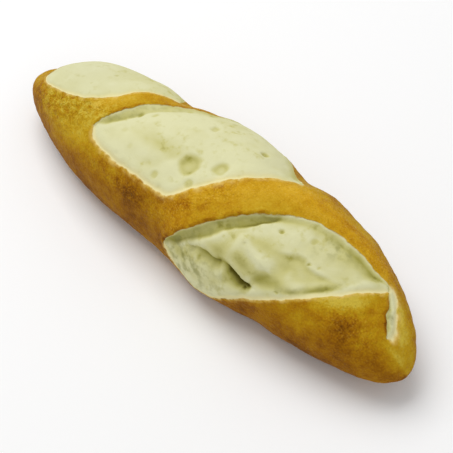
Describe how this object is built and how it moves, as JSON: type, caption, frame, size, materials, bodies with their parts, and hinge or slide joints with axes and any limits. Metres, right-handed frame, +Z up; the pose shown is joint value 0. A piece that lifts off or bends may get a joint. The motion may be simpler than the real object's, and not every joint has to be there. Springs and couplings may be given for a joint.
{
  "type": "bread loaf",
  "caption": "Long crusty roll of baguette type, golden brown, with wide slanting slashes that opened in the oven and show pale crumb.",
  "frame": {"origin": "on the flat base, midway between the ends and midway between the sides", "axes": "+X along the loaf towards its slimmer end, +Z up out of the slashed top, -Z out of the flat base"},
  "size_m": [0.25, 0.0738, 0.0537],
  "materials": {
    "bread": "matt baked crust, pale soft crumb in the slashes"
  },
  "bodies": {
    "root": {"bread_loaf": "bread"}
  },
  "joints": []
}
